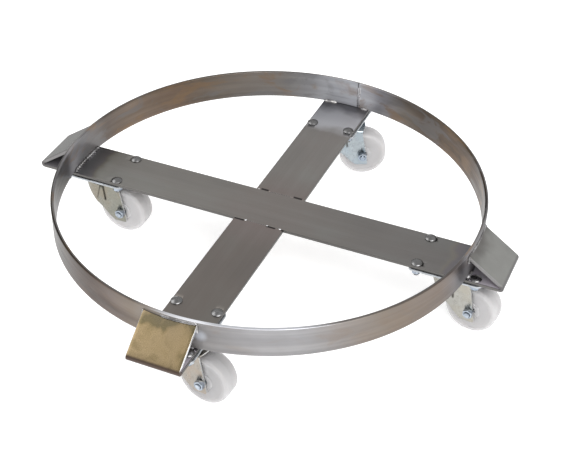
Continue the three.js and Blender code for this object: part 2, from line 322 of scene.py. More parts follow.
class Look:
    """A node material, with short calls for its nodes."""

    def __init__(self, name, **constants):
        self.material = bpy.data.materials.new(name)
        self.material.use_nodes = True
        self.tree = self.material.node_tree
        self.shader = self.tree.nodes["Principled BSDF"]
        for key, value in constants.items():
            self.shader.inputs[key.replace("_", " ")].default_value = value
        self.place = self.add("ShaderNodeTexCoord").outputs["Object"]

    def add(self, kind, inputs=(), **settings):
        node = self.tree.nodes.new(kind)
        for key, value in settings.items():
            setattr(node, key, value)
        for key, value in dict(inputs).items():
            if isinstance(value, bpy.types.NodeSocket):
                self.tree.links.new(value, node.inputs[key])
            else:
                node.inputs[key].default_value = value
        return node

    def dot(self, vector, way):
        inputs = {0: vector, 1: tuple(way)}
        node = self.add("ShaderNodeVectorMath", inputs, operation="DOT_PRODUCT")
        return node.outputs["Value"]

    def math(self, operation, a, b=0.0, clamp=False):
        node = self.add("ShaderNodeMath", {0: a, 1: b}, operation=operation, use_clamp=clamp)
        return node.outputs[0]

    def scaled(self, x, y, z, source=None, turn=0.0):
        """The object's coordinates turned about Z, then scaled along each axis."""
        inputs = {"Vector": source or self.place, "Scale": (x, y, z), "Rotation": (0, 0, turn)}
        return self.add("ShaderNodeMapping", inputs).outputs[0]

    def noise(self, vector, scale=1.0, detail=3.0, rough=0.5, distortion=0.0):
        inputs = {
            "Vector": vector,
            "Scale": scale,
            "Detail": detail,
            "Roughness": rough,
            "Distortion": distortion,
        }
        return self.add("ShaderNodeTexNoise", inputs).outputs["Fac"]

    def fit(self, value, low, high, to_low=0.0, to_high=1.0, smooth=True):
        kind = "SMOOTHSTEP" if smooth else "LINEAR"
        inputs = {0: value, 1: low, 2: high, 3: to_low, 4: to_high}
        return self.add("ShaderNodeMapRange", inputs, interpolation_type=kind).outputs[0]

    def ramp(self, value, stops):
        """Colours along 0 to 1, each stop (position, (r, g, b))."""
        node = self.add("ShaderNodeValToRGB", {"Fac": value})
        elements = node.color_ramp.elements
        while len(elements) < len(stops):
            elements.new(0.5)
        for element, (position, colour) in zip(elements, stops):
            element.position = position
            element.color = (*colour, 1)
        return node.outputs["Color"]

    def blend(self, share, a, b, kind="MIX"):
        """Colour a turning into b. Either may be an (r, g, b)."""
        node = self.add("ShaderNodeMix", data_type="RGBA", blend_type=kind)
        for key, value in ((0, share), (6, a), (7, b)):
            if isinstance(value, tuple):
                node.inputs[key].default_value = (*value, 1)
            elif isinstance(value, bpy.types.NodeSocket):
                self.tree.links.new(value, node.inputs[key])
            else:
                node.inputs[key].default_value = value
        return node.outputs[2]

    def parts(self, vector=None):
        node = self.add("ShaderNodeSeparateXYZ", {0: vector or self.place})
        return node.outputs[0], node.outputs[1], node.outputs[2]

    def patch(self, centre, radius, soft):
        """1 within radius of a point in metres, falling to 0 over soft."""
        inputs = {0: self.place, 1: centre}
        node = self.add("ShaderNodeVectorMath", inputs, operation="DISTANCE")
        return self.fit(node.outputs["Value"], radius, radius + soft, 1.0, 0.0)

    def set(self, socket, value):
        self.tree.links.new(value, self.shader.inputs[socket])

    def bump(self, height, distance, strength=1.0):
        inputs = {"Height": height, "Distance": distance, "Strength": strength}
        self.set("Normal", self.add("ShaderNodeBump", inputs).outputs[0])


def bar_look(
    name, turn, shade, ends, plate_stops, plate_rough=0.0, nose=(0.12, 0.115, 0.115),
    edge=(0.2, 0.195, 0.195), slots=(), polish=0.0, glow=0.9, ground=0.6,
):
    """Brushed flat bar. turn brings the bar's length to X.

    shade is the tone along the bar between the two `ends`, in metres. nose is the painted shade of
    the fold, and edge the tone of the folded plate's cut edges, a painted shade when dark and a
    painted highlight when light. slots are the open gaps at the middle joint, each (centre, half
    width) across the bar, with painted shadow in and beside them. polish, glow and ground are the
    strengths of the dressed patch by the hoop, the heat tint by the middle joint and the dark ground
    steel at the folded plate's top.
    """
    look = Look(name, Metallic=1.0)
    along = look.scaled(1, 1, 1, turn=turn)
    x, y, z = look.parts(along)
    grain = look.noise(look.scaled(6, 900, 900, along), detail=4, rough=0.65)
    streaks = look.noise(look.scaled(2.2, 60, 60, along), detail=3)
    clouds = look.noise(look.scaled(9, 16, 9, along), detail=3)
    tone = look.ramp(clouds, [
        (0.3, (0.225, 0.213, 0.2)), (0.5, (0.24, 0.225, 0.21)), (0.72, (0.25, 0.245, 0.23)),
    ])
    tone = look.blend(look.fit(streaks, 0.35, 0.7, 0.0, 0.3), tone, (0.3, 0.29, 0.28))
    tone = look.blend(1.0, tone, look.ramp(look.fit(x, *ends, smooth=False), shade), "MULTIPLY")
    # Heat tint where the bar passes under the hoop, and round the joint in the middle.
    wander = look.noise(look.scaled(30, 30, 30, along), detail=2)
    squares = look.math("ADD", look.math("MULTIPLY", x, x), look.math("MULTIPLY", y, y))
    radius = look.math("SQRT", squares)
    shifted = look.math("ADD", radius, look.math("MULTIPLY", wander, 0.03))
    near_hoop = look.fit(shifted, 0.275, 0.312)
    tint = look.ramp(near_hoop, [
        (0.0, (0.24, 0.235, 0.225)), (0.35, (0.24, 0.225, 0.195)), (0.6, (0.2, 0.185, 0.195)),
        (1.0, (0.185, 0.185, 0.2)),
    ])
    tone = look.blend(look.fit(near_hoop, 0.0, 0.5, 0.0, 0.85), tone, tint)
    middle = look.math("MULTIPLY", look.fit(radius, 0.045, 0.1, 1.0, 0.0), wander)
    tone = look.blend(look.math("MULTIPLY", middle, glow), tone, (0.23, 0.175, 0.165))
    if polish:
        from_middle = look.math("ABSOLUTE", look.math("SUBTRACT", shifted, 0.272))
        spot = look.fit(from_middle, 0.014, 0.04, 1.0, 0.0)
        tone = look.blend(look.math("MULTIPLY", spot, polish), tone, (0.68, 0.69, 0.73))
    # Painted shadow, near black, in and beside the open gaps at the middle joint.
    for centre, half_width in slots:
        beside = look.math("ABSOLUTE", look.math("SUBTRACT", y, centre))
        across = look.fit(beside, half_width, half_width + 0.002, 1.0, 0.0)
        gap_shadow = look.math("MULTIPLY", across, look.fit(x, 0.0405, 0.0425, 1.0, 0.0))
        tone = look.blend(look.math("MULTIPLY", gap_shadow, 0.92), tone, (0.02, 0.018, 0.018))
    # The cut edges and the fold, in painted shade, and the folded plate above it.
    cut = look.fit(look.math("ABSOLUTE", y), (BAR_HALF - 0.5) * MM, (BAR_HALF - 0.2) * MM)
    tone = look.blend(cut, tone, (0.13, 0.125, 0.12))
    tone = look.blend(look.fit(x, 0.351, 0.354), tone, nose)
    tone = look.blend(look.fit(x, -0.351, -0.354), tone, nose)
    plate = look.fit(z, 0.1085, 0.112)
    mottle = look.noise(look.scaled(34, 34, 30, along), detail=2.0, distortion=0.4)
    plate_tone = look.ramp(mottle, plate_stops)
    near_top = look.math("MULTIPLY", look.fit(shifted, 0.326, 0.345, 1.0, 0.0), ground)
    plate_tone = look.blend(near_top, plate_tone, (0.13, 0.118, 0.11))
    # The left plate is darker in the reference than these lights make it, and is painted so.
    at_left = look.fit(x, -0.2, -0.1, 1.0, 0.0)
    plate_tone = look.blend(at_left, plate_tone, (0.18, 0.177, 0.172), "MULTIPLY")
    # The plate's cut edges take edge: painted shade, and on the front bar a painted highlight.
    plate_tone = look.blend(cut, plate_tone, edge)
    tone = look.blend(plate, tone, plate_tone)
    # The inside of the fold, duller than the rest. The reference doesn't tell scale from shade.
    _, (run, rise) = fold_path()
    behind = look.math("ADD", look.math("MULTIPLY", look.math("ABSOLUTE", x), rise),
                       look.math("MULTIPLY", z, -run))
    scale = look.math("LESS_THAN", behind, FOLD_MIDDLE * MM)
    scale = look.math("MULTIPLY", scale, look.math("GREATER_THAN", look.math("ABSOLUTE", x), 0.311))
    scale = look.math("MULTIPLY", scale, look.math("GREATER_THAN", z, (BAR_LOW + 2) * MM))
    inner = look.math("LESS_THAN", look.math("ABSOLUTE", y), (BAR_HALF - 0.8) * MM)
    scale = look.math("MULTIPLY", scale, inner)
    inner = look.math("LESS_THAN", look.math("ABSOLUTE", x), (BUMPER_REACH - BAR_THICK + 0.4) * MM)
    scale = look.math("MULTIPLY", scale, inner)
    dull = look.ramp(mottle, [(0.3, (0.17, 0.16, 0.175)), (0.7, (0.24, 0.23, 0.245))])
    dull = look.blend(look.fit(x, 0.1, 0.2), dull, (1.9, 1.85, 1.9), "MULTIPLY")
    tone = look.blend(scale, tone, dull)
    look.set("Metallic", look.math("SUBTRACT", 1.0, look.math("MULTIPLY", scale, 0.8)))
    look.set("Base Color", tone)
    rough = look.fit(grain, 0.3, 0.7, 0.34, 0.46)
    look.set("Roughness", look.math("ADD", rough, look.math("MULTIPLY", plate, plate_rough)))
    smoothed = look.math("SUBTRACT", 1.0, look.math("MULTIPLY", plate, 0.75))
    look.bump(look.math("MULTIPLY", grain, smoothed), 0.00006, 0.25)
    return look.material


# The hoop's tone from 0 to 360 degrees. The stops follow the reference under this scene's lights,
# so they mix the steel's own tint with the reference's shading. The outside from 0 to 180 isn't
# seen there and is a guess.
HOOP_OUTSIDE = [
    (0, (0.2, 0.195, 0.2)), (90, (0.2, 0.18, 0.16)), (180, (0.16, 0.155, 0.15)),
    (215, (0.035, 0.03, 0.026)), (230, (0.024, 0.018, 0.014)), (243, (0.065, 0.046, 0.037)),
    (254, (0.13, 0.105, 0.092)), (262, (0.165, 0.14, 0.116)), (278, (0.22, 0.214, 0.214)),
    (290, (0.305, 0.303, 0.31)), (303, (0.275, 0.273, 0.277)), (312, (0.232, 0.213, 0.2)),
    (322, (0.2, 0.172, 0.147)), (340, (0.15, 0.12, 0.1)), (350, (0.16, 0.155, 0.165)),
    (360, (0.2, 0.195, 0.2)),
]
HOOP_INSIDE = [
    (0, (0.13, 0.125, 0.125)), (12, (0.03, 0.026, 0.024)), (22, (0.036, 0.026, 0.02)),
    (36, (0.1, 0.07, 0.048)), (52, (0.12, 0.092, 0.072)), (62, (0.105, 0.082, 0.065)),
    (70, (0.15, 0.13, 0.112)),
    (79, (0.26, 0.256, 0.272)), (88, (0.39, 0.4, 0.43)), (98, (0.26, 0.265, 0.28)),
    (110, (0.165, 0.155, 0.147)), (130, (0.145, 0.124, 0.105)), (143, (0.148, 0.108, 0.08)),
    (160, (0.18, 0.142, 0.113)), (171, (0.135, 0.115, 0.103)), (181, (0.14, 0.138, 0.142)),
    (190, (0.27, 0.265, 0.28)), (200, (0.2, 0.195, 0.2)), (240, (0.19, 0.18, 0.17)),
    (270, (0.16, 0.155, 0.155)), (310, (0.19, 0.175, 0.16)), (360, (0.13, 0.125, 0.125)),
]


def hoop_look():
    look = Look("hoop_steel", Metallic=1.0)
    x, y, z = look.parts()
    turn = look.math("FRACT", look.math("DIVIDE", look.math("ARCTAN2", y, x), TAU))
    from_seam = look.math("FRACT", look.math("SUBTRACT", turn, SEAM_ANGLE / 360))
    arc_length = look.math("MULTIPLY", from_seam, TAU * HOOP_R * MM)
    unrolled = look.add("ShaderNodeCombineXYZ", {0: arc_length, 1: z}).outputs[0]
    grain = look.noise(look.scaled(7, 850, 1, unrolled), detail=4, rough=0.65)
    streaks = look.noise(look.scaled(3, 110, 1, unrolled), detail=3)
    clouds = look.noise(look.scaled(9, 22, 1, unrolled), detail=3, distortion=0.3)
    squares = look.math("ADD", look.math("MULTIPLY", x, x), look.math("MULTIPLY", y, y))
    outside = look.math("GREATER_THAN", look.math("SQRT", squares), (HOOP_R - HOOP_THICK / 2) * MM)
    wander = look.math("MULTIPLY", look.math("SUBTRACT", clouds, 0.5), 0.03)
    wandering = look.math("ADD", turn, wander)
    tones = [
        look.ramp(wandering, [(degrees / 360, colour) for degrees, colour in stops])
        for stops in (HOOP_INSIDE, HOOP_OUTSIDE)
    ]
    tone = look.blend(outside, *tones)
    cloudy = look.ramp(clouds, [(0.3, (0.84, 0.83, 0.82)), (0.7, (1.1, 1.1, 1.1))])
    streaky = look.ramp(streaks, [(0.32, (0.86, 0.86, 0.87)), (0.68, (1.12, 1.12, 1.12))])
    tone = look.blend(1.0, tone, cloudy, "MULTIPLY")
    tone = look.blend(1.0, tone, streaky, "MULTIPLY")
    # Brown oxide and greyer bare patches, mostly on the inside face.
    blotches = look.noise(look.scaled(12, 34, 1, unrolled), detail=4, rough=0.6, distortion=0.8)
    strength = look.fit(outside, 0.0, 1.0, 0.55, 0.15)
    rusty = look.math("MULTIPLY", look.fit(blotches, 0.52, 0.64), strength)
    bare = look.math("MULTIPLY", look.fit(blotches, 0.46, 0.36), strength)
    tone = look.blend(rusty, tone, (0.19, 0.122, 0.07))
    tone = look.blend(bare, tone, (0.145, 0.143, 0.145))
    # A painted highlight along the top edge beside the front plate.
    from_rim_glint = look.math("ABSOLUTE", look.math("SUBTRACT", turn, RIM_GLINT_TURN))
    rim_glint = look.fit(from_rim_glint, 0.03, 0.07, 1.0, 0.0)
    rim = look.fit(z, (HOOP_TOP - 0.8) * MM, (HOOP_TOP - 0.3) * MM)
    tone = look.blend(look.math("MULTIPLY", rim, rim_glint), tone, (0.66, 0.67, 0.71))
    # A spot polished beside the front plate.
    a = math.radians(SPOT_ANGLE)
    spot_place = (HOOP_R * MM * math.cos(a), HOOP_R * MM * math.sin(a), SPOT_Z * MM)
    spot = look.patch(spot_place, 0.002, 0.01)
    tone = look.blend(look.math("MULTIPLY", spot, 0.6), tone, (0.55, 0.58, 0.64))
    # Less metallic where each arm is welded on.
    px, py = look.math("ABSOLUTE", x), look.math("ABSOLUTE", y)
    burnt = look.fit(look.math("MINIMUM", px, py), 0.036, 0.062, 1.0, 0.0)
    look.set("Metallic", look.math("SUBTRACT", 1.0, look.math("MULTIPLY", burnt, 0.75)))
    # Painted shade in the undercut beside the seam.
    undercut = look.math("ABSOLUTE", look.math("SUBTRACT", turn, (SEAM_ANGLE + 0.42) / 360))
    tone = look.blend(look.fit(undercut, 0.0002, 0.0008, 0.85, 0.0), tone, (0.04, 0.037, 0.037))
    look.set("Base Color", tone)
    look.set("Roughness", look.fit(grain, 0.3, 0.7, 0.3, 0.44))
    look.bump(grain, 0.00006, 0.35)
    return look.material


def weld_look(name, stops, metallic):
    look = Look(name, Metallic=metallic)
    spots = look.noise(look.scaled(420, 420, 420), detail=3)
    patches = look.noise(look.scaled(75, 75, 75), detail=2.5)
    look.set("Base Color", look.ramp(patches, stops))
    look.set("Roughness", look.fit(spots, 0.3, 0.7, 0.18, 0.42))
    look.bump(spots, 0.00012, 0.5)
    return look.material


def zinc_look(name, dark, light, tint, rough=(0.24, 0.4), bump=0.00006):
    """Zinc plate: a mottled bright metal with a faint passivation tint in patches."""
    look = Look(name, Metallic=1.0)
    spangle = look.noise(look.scaled(160, 160, 160), detail=4, rough=0.6)
    patches = look.noise(look.scaled(38, 38, 38), detail=2.5, distortion=0.5)
    tone = look.ramp(spangle, [(0.32, dark), (0.66, light)])
    tone = look.blend(look.fit(patches, 0.42, 0.66), tone, tint)
    look.set("Base Color", tone)
    look.set("Roughness", look.fit(spangle, 0.3, 0.7, *rough))
    look.bump(spangle, bump, 0.4)
    return look.material


def fork_look(name, dark, light, tint):
    """Zinc plate, with a painted highlight on the faces that look back and painted shade along the panels.
    """
    pin = Vector(joints[f"{name}_swivel_turn"]["pos_m"])
    trail = trail_of(name)
    look = Look(f"fork_zinc_{name}", Metallic=1.0)
    spangle = look.noise(look.scaled(160, 160, 160), detail=4, rough=0.6)
    patches = look.noise(look.scaled(38, 38, 38), detail=2.5, distortion=0.5)
    tone = look.ramp(spangle, [(0.32, dark), (0.66, light)])
    tone = look.blend(look.fit(patches, 0.42, 0.66), tone, tint)
    # Faces that look back, the legs' cut edges among them, get a painted highlight.
    back = Vector((math.cos(trail), math.sin(trail), 0))
    normal = look.add("ShaderNodeTexCoord").outputs["Normal"]
    tone = look.blend(look.fit(look.dot(normal, back), 0.9, 0.97), tone, (0.8, 0.81, 0.8))
    along = look.math("SUBTRACT", look.dot(look.place, back), pin.dot(back))
    _, _, z = look.parts()
    below = look.math("SUBTRACT", PANEL_TOP * MM, z)
    within = look.fit(below, 0.022, 0.026, 1.0, 0.0)
    # Painted shade along both sides of each pressed panel.
    for start, lean in PANEL_SIDES:
        side = look.math("ADD", look.math("MULTIPLY", below, lean), start * MM)
        beside = look.math("ABSOLUTE", look.math("SUBTRACT", along, side))
        panel_shade = look.math("MULTIPLY", look.fit(beside, 0.0008, 0.0022, 1.0, 0.0), within)
        tone = look.blend(look.math("MULTIPLY", panel_shade, 0.75), tone, (0.05, 0.045, 0.035))
    look.set("Base Color", tone)
    look.set("Roughness", look.fit(spangle, 0.3, 0.7, 0.24, 0.4))
    look.bump(spangle, 0.00006, 0.4)
    return look.material


def ball_look():
    look = Look("ball_steel", Metallic=1.0)
    smears = look.noise(look.scaled(260, 260, 260), detail=3)
    look.set("Base Color", look.ramp(smears, [(0.35, (0.5, 0.5, 0.5)), (0.7, (0.72, 0.73, 0.74))]))
    look.set("Roughness", look.fit(smears, 0.3, 0.7, 0.08, 0.22))
    return look.material


def nylon_look(name, shade):
    look = Look(
        f"wheel_nylon_{name}",
        Subsurface_Weight=0.85,
        Subsurface_Scale=0.03,
        Subsurface_Radius=(1.0, 0.97, 0.95),
        Specular_IOR_Level=0.45,
    )
    clouds = look.noise(look.scaled(45, 45, 45), detail=3)
    grain = look.noise(look.scaled(700, 700, 700), detail=2)
    tone = look.ramp(clouds, [(0.3, (0.4, 0.393, 0.397)), (0.7, (0.435, 0.428, 0.432))])
    look.set("Base Color", look.blend(1.0, tone, (shade, shade, shade), "MULTIPLY"))
    look.set("Roughness", look.fit(grain, 0.3, 0.7, 0.34, 0.48))
    look.bump(grain, 0.00008, 0.25)
    return look.material


def floor_look():
    look = Look(
        "floor_paint",
        Roughness=0.9,
        Specular_IOR_Level=0.0,
        Emission_Color=(1, 1, 1, 1),
        Emission_Strength=0.4,
    )
    clouds = look.noise(look.scaled(2, 2, 2), detail=2)
    look.set("Base Color", look.ramp(clouds, [(0.3, (0.93, 0.93, 0.93)), (0.7, (0.95, 0.95, 0.95))]))
    return look.material


GREY_PLATE = [(0.3, (0.28, 0.28, 0.27)), (0.5, (0.33, 0.33, 0.315)), (0.7, (0.35, 0.35, 0.335))]
GOLD_PLATE = [
    (0.38, (0.15, 0.122, 0.065)), (0.46, (0.23, 0.175, 0.094)), (0.53, (0.275, 0.208, 0.117)),
    (0.6, (0.285, 0.216, 0.125)), (0.68, (0.225, 0.172, 0.095)),
]
# Shade along the bars. It follows the reference, so its lighting is part of these stops.
LEFT_TO_RIGHT = [
    (0.0, (1.5, 1.55, 1.5)), (0.06, (1.08, 1.1, 1.1)), (0.52, (0.99, 0.99, 0.99)),
    (1.0, (0.84, 0.85, 0.88)),
]
FRONT_SHADE = [(0.0, (0.96, 0.95, 0.96)), (0.25, (0.82, 0.78, 0.77)), (1.0, (0.79, 0.76, 0.74))]
REAR_SHADE = [(0.0, (0.98, 0.99, 0.99)), (1.0, (1.13, 1.12, 1.14))]

# Dark, light and tint of each fork's zinc. The forks are taken to be alike. Their tones differ
# because they follow the reference, where light and coating can't be told apart.
FORK_TONES = {
    "left": ((0.19, 0.19, 0.165), (0.26, 0.258, 0.225), (0.235, 0.215, 0.175)),
    "front": ((0.25, 0.232, 0.205), (0.34, 0.318, 0.285), (0.32, 0.275, 0.23)),
    "right": ((0.28, 0.275, 0.25), (0.37, 0.365, 0.34), (0.33, 0.315, 0.275)),
    "rear": ((0.29, 0.325, 0.345), (0.4, 0.44, 0.465), (0.34, 0.39, 0.425)),
}

# The wheels are taken to be alike. These factors follow the reference's shading, and don't stand
# for a known difference in the nylon.
NYLON_SHADES = {"right": 1.0, "rear": 1.06, "left": 1.12, "front": 0.92}

joints = {joint["name"]: joint for joint in frame["joints"]}


def trail_of(name):
    """The direction that a caster's wheel trails in, in radians."""
    pin = Vector(joints[f"{name}_swivel_turn"]["pos_m"])
    axle = Vector(joints[f"{name}_wheel_roll"]["pos_m"])
    return math.atan2(axle.y - pin.y, axle.x - pin.x)


LOOKS = {
    "hoop": hoop_look(),
    "bar_x": bar_look("bar_steel_x", 0.0, LEFT_TO_RIGHT, (-0.285, 0.28), GREY_PLATE, 0.02, glow=0.3),
    "bar_front": bar_look(
        "bar_steel_front", math.pi / 2, FRONT_SHADE, (0.03, 0.28), GOLD_PLATE, -0.1,
        # The fold's painted shade, and a painted highlight on the plate's cut edges.
        nose=(0.085, 0.062, 0.052), edge=(0.7, 0.71, 0.73),
        slots=[(-0.0298, 0.0066), (0.0194, 0.006), (0.0372, 0.001)], ground=0.25,
    ),
    "bar_rear": bar_look(
        "bar_steel_rear", -math.pi / 2, REAR_SHADE, (0.03, 0.22), GREY_PLATE, 0.02,
        slots=[(0.0251, 0.005), (-0.0274, 0.0058)], polish=0.75,
    ),
    "weld": weld_look("weld_steel", [
        (0.34, (0.16, 0.155, 0.16)), (0.5, (0.36, 0.35, 0.34)), (0.64, (0.72, 0.72, 0.74)),
    ], 0.75),
    "tack": weld_look("weld_tack", [(0.3, (0.6, 0.6, 0.61)), (0.7, (0.85, 0.85, 0.87))], 0.6),
    "seam": weld_look("weld_seam", [(0.3, (0.34, 0.33, 0.33)), (0.7, (0.6, 0.6, 0.62))], 0.9),
    "flush": weld_look("weld_flush", [
        (0.3, (0.2, 0.185, 0.175)), (0.5, (0.225, 0.21, 0.2)), (0.7, (0.25, 0.24, 0.23)),
    ], 1.0),
    "dressed": weld_look("weld_dressed", [
        (0.34, (0.13, 0.125, 0.125)), (0.5, (0.22, 0.215, 0.215)), (0.66, (0.34, 0.335, 0.34)),
    ], 0.9),
    "plate": zinc_look("plate_zinc", (0.28, 0.295, 0.31), (0.45, 0.47, 0.49), (0.4, 0.42, 0.45)),
    "race": zinc_look("race_zinc", (0.09, 0.11, 0.125), (0.18, 0.2, 0.22), (0.12, 0.15, 0.17)),
    "bright": zinc_look(
        "bright_zinc", (0.2, 0.23, 0.27), (0.47, 0.52, 0.58), (0.3, 0.35, 0.42), rough=(0.08, 0.2)
    ),
    "bolt": zinc_look(
        "bolt_steel", (0.15, 0.148, 0.146), (0.235, 0.234, 0.236), (0.19, 0.189, 0.19), rough=(0.22, 0.34)
    ),
    **{
        f"{name}_fork": fork_look(name, *tones)
        for name, tones in FORK_TONES.items()
    },
    "ball": ball_look(),
    **{f"{name}_nylon": nylon_look(name, shade) for name, shade in NYLON_SHADES.items()},
}

# ---------- placing pieces ----------


def piece(name, mesh, look, body, slot, *replaced):
    """Adds a mesh that is already in the row frame as a piece of the object."""
    made = bpy.data.objects.new(name, mesh)
    bpy.context.scene.collection.objects.link(made)
    mesh.materials.clear()
    mesh.materials.append(LOOKS[look])
    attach(made, body)
    if replaced:
        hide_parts(*replaced)
    return made


# ---------- hoop ----------


def seam_groove(degrees):
    """How deep the undercut beside the hoop's seam is, in millimetres."""
    return 0.8 * math.exp(-(((degrees - SEAM_ANGLE - 0.42) / 0.16) ** 2))


def hoop_mesh():
    section = strip_section(HOOP_TOP / 2 - HOOP_LOW / 2, HOOP_THICK, 0.9, across=10)
    middle_z = (HOOP_LOW + HOOP_TOP) / 2
    middle_r = (HOOP_R + HOOP_BORE_R) / 2
    fine = [SEAM_ANGLE + 0.42 + 0.07 * i for i in range(-7, 8)]
    coarse = [a for a in range(360) if not fine[0] - 0.4 < a < fine[-1] + 0.4]
    rings = []
    for degrees in sorted(coarse + fine):
        a = math.radians(degrees)
        sway = 0.22 * noise.noise(Vector((2.2 * math.cos(a), 2.2 * math.sin(a), 5)))
        lean = 0.35 * noise.noise(Vector((1.6 * math.cos(a), 1.6 * math.sin(a), 9)))
        ring = []
        for height, depth in section:
            radius = middle_r - depth + (sway - 0.2) + lean * height / 22
            if depth > 0:
                radius += seam_groove(degrees)
            ring.append((radius * math.cos(a), radius * math.sin(a), middle_z + height))
        rings.append(ring)
    return loft("hoop_fine", rings, closed=True)


# ---------- crossbars ----------


def bar_end_rings(start_x, spread=14):
    """Rings of one bar arm towards +X, from start_x out, round the fold and up to the hoop."""
    section = strip_section(BAR_HALF, BAR_THICK, 0.7, across=20)
    bends, (dx, dz) = fold_path()
    flat_z = BAR_LOW + BAR_THICK / 2
    flats = [start_x + (bends[0][0] - start_x) * i / spread for i in range(spread)]
    stations = [(x, flat_z, 0.0, -1.0) for x in flats] + bends
    rings = []
    for x, z, nx, nz in stations:
        rings.append([(x + nx * a, y, z + nz * a) for y, a in section])
    last = rings[-1]
    trim = HOOP_R + 0.9
    ends = []
    for x, y, z in last:
        reach = (math.sqrt(trim * trim - y * y) - x) / dx
        ends.append((x + dx * reach, y, z + dz * reach))
    for step in range(1, 9):
        share = step / 8
        rings.append([tuple(Vector(p).lerp(q, share)) for p, q in zip(last, ends)])
    return rings


def chamfered_start(rings, inset=0.7):
    """rings with the first one drawn in, so that the bar's cut end has broken edges."""
    first = rings[0]
    x = first[0][0]
    middle_z = BAR_LOW + BAR_THICK / 2
    in_y = (BAR_HALF - inset) / BAR_HALF
    in_z = (BAR_THICK / 2 - inset) / (BAR_THICK / 2)
    drawn_in = [(x, y * in_y, middle_z + (z - middle_z) * in_z) for _, y, z in first]
    moved_on = [(x + inset, y, z) for _, y, z in first]
    return [drawn_in, moved_on, *rings[1:]]


def bolt_places():
    """The four bolts of a caster in the arm's frame about its kingpin, in the CAD's order."""
    return [(x, y) for x in (-BOLT_ALONG, BOLT_ALONG) for y in (-BOLT_ACROSS, BOLT_ACROSS)]


def neck_holes(radius, both):
    sides = (1, -1) if both else (1,)
    centres = [
        (side * (radius + x), side * y, BAR_TOP - BAR_THICK / 2)
        for side in sides
        for x, y in bolt_places()
    ]
    return boxes("necks", centres, (8.7, 8.7, 20))


def through_bar_mesh(caster_radius):
    right = bar_end_rings(0.0)
    left = [[(-x, y, z) for x, y, z in ring] for ring in right[:0:-1]]
    bar = loft("through", left + right)
    return carved(bar, "DIFFERENCE", neck_holes(caster_radius, True))


def half_bar_mesh(caster_radius):
    rings = chamfered_start(bar_end_rings(BAR_HALF + GAP))
    return carved(loft("half", rings), "DIFFERENCE", neck_holes(caster_radius, False))


# ---------- welds ----------


def add_bead(bm, path, up, half_width, height, pitch=1.7, ripple=0.16, wobble=0.12, seed=0):
    """A weld bead along path points, standing up from it. Ripples lag at the bead's sides."""
    points = [Vector(p) for p in path]
    lengths = [0.0]
    for a, b in zip(points, points[1:]):
        lengths.append(lengths[-1] + (b - a).length)
    total = lengths[-1]
    count = max(8, int(total / pitch * 6))
    sides = 14
    rings = []
    for i in range(count + 1):
        s = total * i / count
        k = max(j for j in range(len(points) - 1) if lengths[j] <= s + 1e-9)
        share = (s - lengths[k]) / (lengths[k + 1] - lengths[k])
        here = points[k].lerp(points[k + 1], min(share, 1))
        tangent = (points[k + 1] - points[k]).normalized()
        rise = up(here)
        side = tangent.cross(rise).normalized()
        phase = s / pitch
        swell = 1 + ripple * (abs((phase % 1) - 0.5) * -2 + 0.5)
        swell += wobble * noise.noise(Vector((phase * 0.45, seed, 0)))
        taper = min(1.0, 0.35 + min(s, total - s) / (1.4 * half_width))
        sway = wobble * half_width * noise.noise(Vector((phase * 0.3, seed, 7)))
        ring = []
        for j in range(sides):
            a = TAU * j / sides
            across, raised = math.cos(a), math.sin(a)
            lag = 0.55 * pitch * (1 - across * across) * (1 if 0 < i < count else 0)
            ring.append(here + side * (across * half_width * swell * taper + sway)
                        + rise * raised * height * swell * taper + tangent * lag)
        rings.append(ring)
    add_loft(bm, rings)


def on_hoop(radius, z, arm, start, end, steps=14):
    """A path on the hoop at one arm. start and end are offsets across the arm, in millimetres."""
    middle = math.radians(arm)
    out = []
    for i in range(steps + 1):
        offset = start + (end - start) * i / steps
        a = middle + math.asin(offset / radius)
        out.append((radius * math.cos(a), radius * math.sin(a), z))
    return out


def leaning(arm, inward):
    """The way a fillet bead stands: half up and half away from the hoop's face."""
    a = math.radians(arm)
    sign = -1 if inward else 1
    way = Vector((sign * math.cos(a), sign * math.sin(a), 1)).normalized()
    return lambda point: way


# Where each arm's beads run, in millimetres across the arm: inside the hoop and outside it on the
# flat bar, and along the folded plate's top edge.
WELDS = {
    "right": {"inner": [(-36, -14), (10, 36)], "outer": [(-34, -18), (16, 34)], "top": [(-37, 37)]},
    "rear": {"inner": [(-36, -24), (17, 36)], "outer": [(-34, -16), (14, 34)],
             "top": [(-37, -12), (10, 37)]},
    "left": {"inner": [(-36, 36)], "outer": [(-34, -18), (18, 34)], "top": [(-37, -6), (8, 37)]},
    "front": {"inner": [(-36, -16), (12, 36)], "outer": [(-32, -14), (16, 32)], "top": [(-12, 37)]},
}
LUMPY = {"half_width": 4.0, "height": 3.2, "pitch": 5.5, "ripple": 0.9, "wobble": 0.4}


def fillet_mesh(name, arm):
    bm = bmesh.new()
    shape = LUMPY if name == "left" else {"half_width": 3.4, "height": 2.7}
    for seed, (start, end) in enumerate(WELDS[name]["inner"]):
        path = on_hoop(HOOP_BORE_R - 0.8, BAR_TOP + 0.5, arm, start, end)
        add_bead(bm, path, leaning(arm, True), seed=seed + arm, **shape)
    for seed, (start, end) in enumerate(WELDS[name]["outer"]):
        path = on_hoop(HOOP_R + 0.8, BAR_TOP + 0.5, arm, start, end)
        add_bead(bm, path, leaning(arm, False), 2.4, 1.8, seed=seed + arm + 5)
    return mesh_of(bm, f"{name}_fillet", 60)


def plate_weld_mesh(name, arm):
    """The dressed bead along the top edge of a folded plate."""
    bm = bmesh.new()
    top = HOOP_TOP - BUMPER_DROP + 1.4
    for seed, (start, end) in enumerate(WELDS[name]["top"]):
        path = on_hoop(HOOP_R + 0.2, 0, arm, start, end, 24)
        shares = (abs(start + (end - start) * i / 24) / 38 for i in range(25))
        path = [(x, y, top + share * share * 1.6) for (x, y, _), share in zip(path, shares)]
        add_bead(bm, path, leaning(arm, False), 2.2, 1.3, ripple=0.12, seed=seed + arm)
    return mesh_of(bm, f"{name}_plate_weld", 60)


